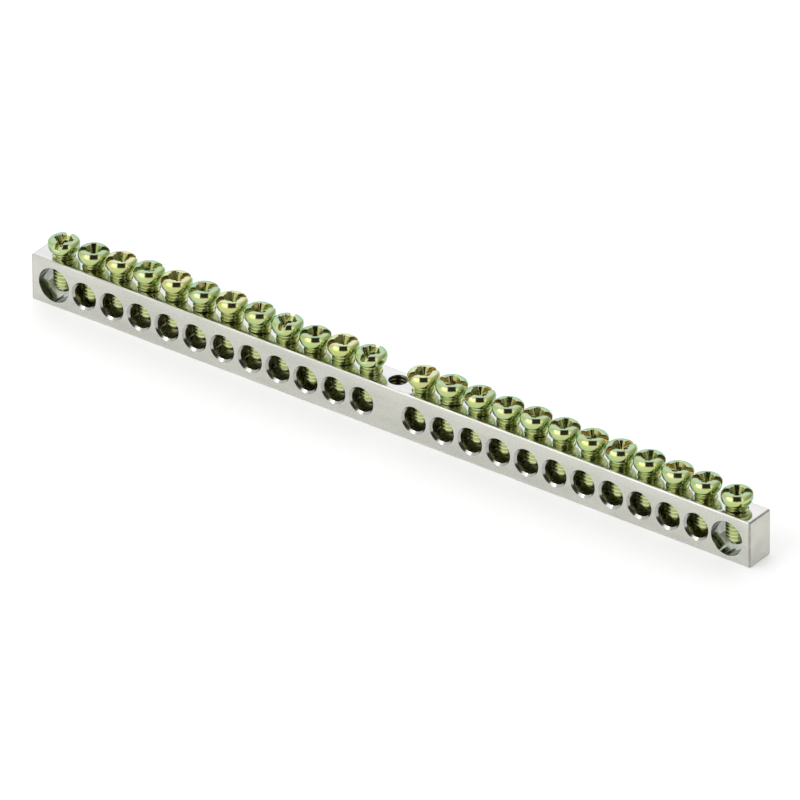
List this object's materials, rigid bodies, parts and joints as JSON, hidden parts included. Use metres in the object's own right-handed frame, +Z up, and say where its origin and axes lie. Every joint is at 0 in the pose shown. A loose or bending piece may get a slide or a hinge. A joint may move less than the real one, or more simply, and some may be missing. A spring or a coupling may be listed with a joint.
{
  "type": "earth busbar",
  "caption": "Rectangular plated brass earth bar with a row of cross-drilled wire holes, a clamp screw over each hole and a threaded fixing hole in the middle.",
  "frame": {"origin": "middle of the bar's underside, on the axis of the fixing hole", "axes": "+X along the bar, +Y through its depth away from the countersunk wire side, +Z up towards the screw heads"},
  "size_m": [0.154, 0.006, 0.0132],
  "materials": {
    "plated_brass": "satin nickel plating over brass",
    "passivated_steel": "zinc with yellow-green iridescent passivation"
  },
  "bodies": {
    "bar": {"busbar": "plated_brass"},
    "screw_01": {"terminal_screw_01": "passivated_steel"},
    "screw_02": {"terminal_screw_02": "passivated_steel"},
    "screw_03": {"terminal_screw_03": "passivated_steel"},
    "screw_04": {"terminal_screw_04": "passivated_steel"},
    "screw_05": {"terminal_screw_05": "passivated_steel"},
    "screw_06": {"terminal_screw_06": "passivated_steel"},
    "screw_07": {"terminal_screw_07": "passivated_steel"},
    "screw_08": {"terminal_screw_08": "passivated_steel"},
    "screw_09": {"terminal_screw_09": "passivated_steel"},
    "screw_10": {"terminal_screw_10": "passivated_steel"},
    "screw_11": {"terminal_screw_11": "passivated_steel"},
    "screw_12": {"terminal_screw_12": "passivated_steel"},
    "screw_13": {"terminal_screw_13": "passivated_steel"},
    "screw_14": {"terminal_screw_14": "passivated_steel"},
    "screw_15": {"terminal_screw_15": "passivated_steel"},
    "screw_16": {"terminal_screw_16": "passivated_steel"},
    "screw_17": {"terminal_screw_17": "passivated_steel"},
    "screw_18": {"terminal_screw_18": "passivated_steel"},
    "screw_19": {"terminal_screw_19": "passivated_steel"},
    "screw_20": {"terminal_screw_20": "passivated_steel"},
    "screw_21": {"terminal_screw_21": "passivated_steel"},
    "screw_22": {"terminal_screw_22": "passivated_steel"},
    "screw_23": {"terminal_screw_23": "passivated_steel"},
    "screw_24": {"terminal_screw_24": "passivated_steel"}
  },
  "joints": [
    {"name": "terminal_screw_01_travel", "type": "slide", "parent": "bar", "child": "screw_01", "axis": [0, 0, 1], "range_m": [-0.0006, 0.0053]},
    {"name": "terminal_screw_02_travel", "type": "slide", "parent": "bar", "child": "screw_02", "axis": [0, 0, 1], "range_m": [-0.0002, 0.00405]},
    {"name": "terminal_screw_03_travel", "type": "slide", "parent": "bar", "child": "screw_03", "axis": [0, 0, 1], "range_m": [-0.0006, 0.00365]},
    {"name": "terminal_screw_04_travel", "type": "slide", "parent": "bar", "child": "screw_04", "axis": [0, 0, 1], "range_m": [-0.00075, 0.0035]},
    {"name": "terminal_screw_05_travel", "type": "slide", "parent": "bar", "child": "screw_05", "axis": [0, 0, 1], "range_m": [-0.0009, 0.00335]},
    {"name": "terminal_screw_06_travel", "type": "slide", "parent": "bar", "child": "screw_06", "axis": [0, 0, 1], "range_m": [-0.0008, 0.00345]},
    {"name": "terminal_screw_07_travel", "type": "slide", "parent": "bar", "child": "screw_07", "axis": [0, 0, 1], "range_m": [-0.0009, 0.00335]},
    {"name": "terminal_screw_08_travel", "type": "slide", "parent": "bar", "child": "screw_08", "axis": [0, 0, 1], "range_m": [-0.0008, 0.00345]},
    {"name": "terminal_screw_09_travel", "type": "slide", "parent": "bar", "child": "screw_09", "axis": [0, 0, 1], "range_m": [-0.00065, 0.0036]},
    {"name": "terminal_screw_10_travel", "type": "slide", "parent": "bar", "child": "screw_10", "axis": [0, 0, 1], "range_m": [-0.00025, 0.004]},
    {"name": "terminal_screw_11_travel", "type": "slide", "parent": "bar", "child": "screw_11", "axis": [0, 0, 1], "range_m": [-0.00065, 0.0036]},
    {"name": "terminal_screw_12_travel", "type": "slide", "parent": "bar", "child": "screw_12", "axis": [0, 0, 1], "range_m": [-0.00065, 0.0036]},
    {"name": "terminal_screw_13_travel", "type": "slide", "parent": "bar", "child": "screw_13", "axis": [0, 0, 1], "range_m": [-0.0004, 0.00385]},
    {"name": "terminal_screw_14_travel", "type": "slide", "parent": "bar", "child": "screw_14", "axis": [0, 0, 1], "range_m": [-0.00065, 0.0036]},
    {"name": "terminal_screw_15_travel", "type": "slide", "parent": "bar", "child": "screw_15", "axis": [0, 0, 1], "range_m": [-0.0006, 0.00365]},
    {"name": "terminal_screw_16_travel", "type": "slide", "parent": "bar", "child": "screw_16", "axis": [0, 0, 1], "range_m": [-0.0005, 0.00375]},
    {"name": "terminal_screw_17_travel", "type": "slide", "parent": "bar", "child": "screw_17", "axis": [0, 0, 1], "range_m": [-0.00055, 0.0037]},
    {"name": "terminal_screw_18_travel", "type": "slide", "parent": "bar", "child": "screw_18", "axis": [0, 0, 1], "range_m": [-0.00045, 0.0038]},
    {"name": "terminal_screw_19_travel", "type": "slide", "parent": "bar", "child": "screw_19", "axis": [0, 0, 1], "range_m": [-0.00045, 0.0038]},
    {"name": "terminal_screw_20_travel", "type": "slide", "parent": "bar", "child": "screw_20", "axis": [0, 0, 1], "range_m": [-0.00045, 0.0038]},
    {"name": "terminal_screw_21_travel", "type": "slide", "parent": "bar", "child": "screw_21", "axis": [0, 0, 1], "range_m": [-0.00045, 0.0038]},
    {"name": "terminal_screw_22_travel", "type": "slide", "parent": "bar", "child": "screw_22", "axis": [0, 0, 1], "range_m": [-0.00035, 0.0039]},
    {"name": "terminal_screw_23_travel", "type": "slide", "parent": "bar", "child": "screw_23", "axis": [0, 0, 1], "range_m": [-0.00035, 0.0039]},
    {"name": "terminal_screw_24_travel", "type": "slide", "parent": "bar", "child": "screw_24", "axis": [0, 0, 1], "range_m": [-0.00065, 0.00525]}
  ]
}
